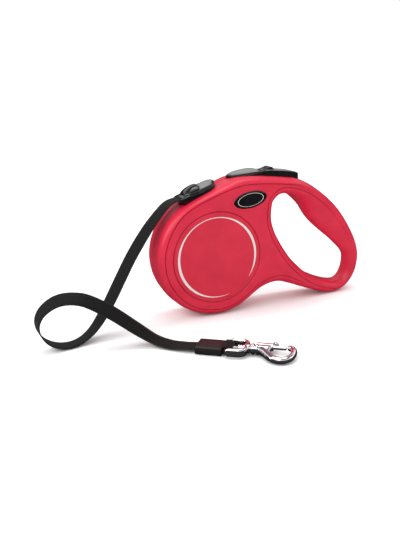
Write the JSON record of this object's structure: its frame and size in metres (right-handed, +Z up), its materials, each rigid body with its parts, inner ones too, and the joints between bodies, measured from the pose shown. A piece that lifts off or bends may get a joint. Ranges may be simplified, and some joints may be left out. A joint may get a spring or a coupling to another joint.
{
  "type": "retractable dog leash",
  "caption": "Retractable tape leash: round sprung reel in a moulded casing with a closed hand grip, thumb brake button, tape guide and a swivelling bolt snap hook.",
  "frame": {"origin": "centre of the casing's box, at the ground under it", "axes": "+X from the round reel housing towards the hand grip, +Y through the casing from front to rear, +Z up"},
  "size_m": [0.2521, 0.127, 0.1031],
  "materials": {
    "casing_red": "satin moulded casing",
    "disc_red": "satin moulded disc with a thin printed arc",
    "badge_black": "polished black",
    "black_plastic": "satin black moulding",
    "sleeve_black": "grained black moulding",
    "pad_grey": "soft dark grey pad",
    "reel_white": "natural acetal",
    "steel": "plain steel",
    "spring_steel": "drawn spring steel",
    "washer_brass": "plain",
    "chrome": "polished chrome plate",
    "tape_black": "woven nylon tape"
  },
  "bodies": {
    "casing": {"front_shell": "casing_red", "rear_shell": "casing_red", "front_disc": "disc_red", "rear_disc": "disc_red", "front_badge": "badge_black", "rear_badge": "badge_black", "tape_guide": "black_plastic", "guide_hood": "badge_black", "guide_pad": "pad_grey", "case_screw_1": "steel", "case_screw_2": "steel", "case_screw_3": "steel", "case_screw_4": "steel", "axle": "steel", "button_pin": "steel", "pawl_pin": "steel", "front_washer": "washer_brass", "rear_washer": "washer_brass", "spring_arbor": "black_plastic", "power_spring": "spring_steel", "tape_lead": "tape_black", "button_spring": "spring_steel", "tape": "tape_black", "tape_sleeve": "sleeve_black", "webbing_loop": "tape_black", "swivel_eye": "chrome"},
    "reel": {"reel_drum": "reel_white", "reel_cover": "reel_white", "brake_ring": "black_plastic", "tape_roll": "tape_black"},
    "button": {"brake_button": "black_plastic"},
    "catch": {"lock_catch": "black_plastic"},
    "pawl": {"brake_pawl": "steel"},
    "hook": {"hook_body": "chrome"},
    "bolt": {"hook_bolt": "chrome", "bolt_spring": "spring_steel"}
  },
  "joints": [
    {"name": "reel_spin", "type": "hinge", "parent": "casing", "child": "reel", "pos_m": [-0.0392, 0, 0.0435], "axis": [0, 1, 0], "continuous": true},
    {"name": "button_press", "type": "hinge", "parent": "casing", "child": "button", "pos_m": [-0.0202, 0, 0.0907], "axis": [0, 1, 0], "range_deg": [0, 4.5], "stiffness_Nm_per_rad": 1.5, "deforming": ["button_spring"]},
    {"name": "catch_slide", "type": "slide", "parent": "button", "child": "catch", "axis": [1, 0, 0], "range_m": [0, 0.003]},
    {"name": "pawl_swing", "type": "hinge", "parent": "casing", "child": "pawl", "pos_m": [-0.0037, 0, 0.0825], "axis": [0, 1, 0], "range_deg": [-5.2, 0]},
    {"name": "hook_swivel", "type": "hinge", "parent": "casing", "child": "hook", "pos_m": [-0.04801, -0.08591, 0.0039], "axis": [0.7997, -0.6004, 0], "continuous": true},
    {"name": "bolt_slide", "type": "slide", "parent": "hook", "child": "bolt", "axis": [-0.7997, 0.6004, 0], "range_m": [0, 0.003], "stiffness_N_per_m": 400}
  ],
  "couplings": [
    {"joint": "pawl_swing", "follows": "button_press", "ratio": -1.1}
  ]
}
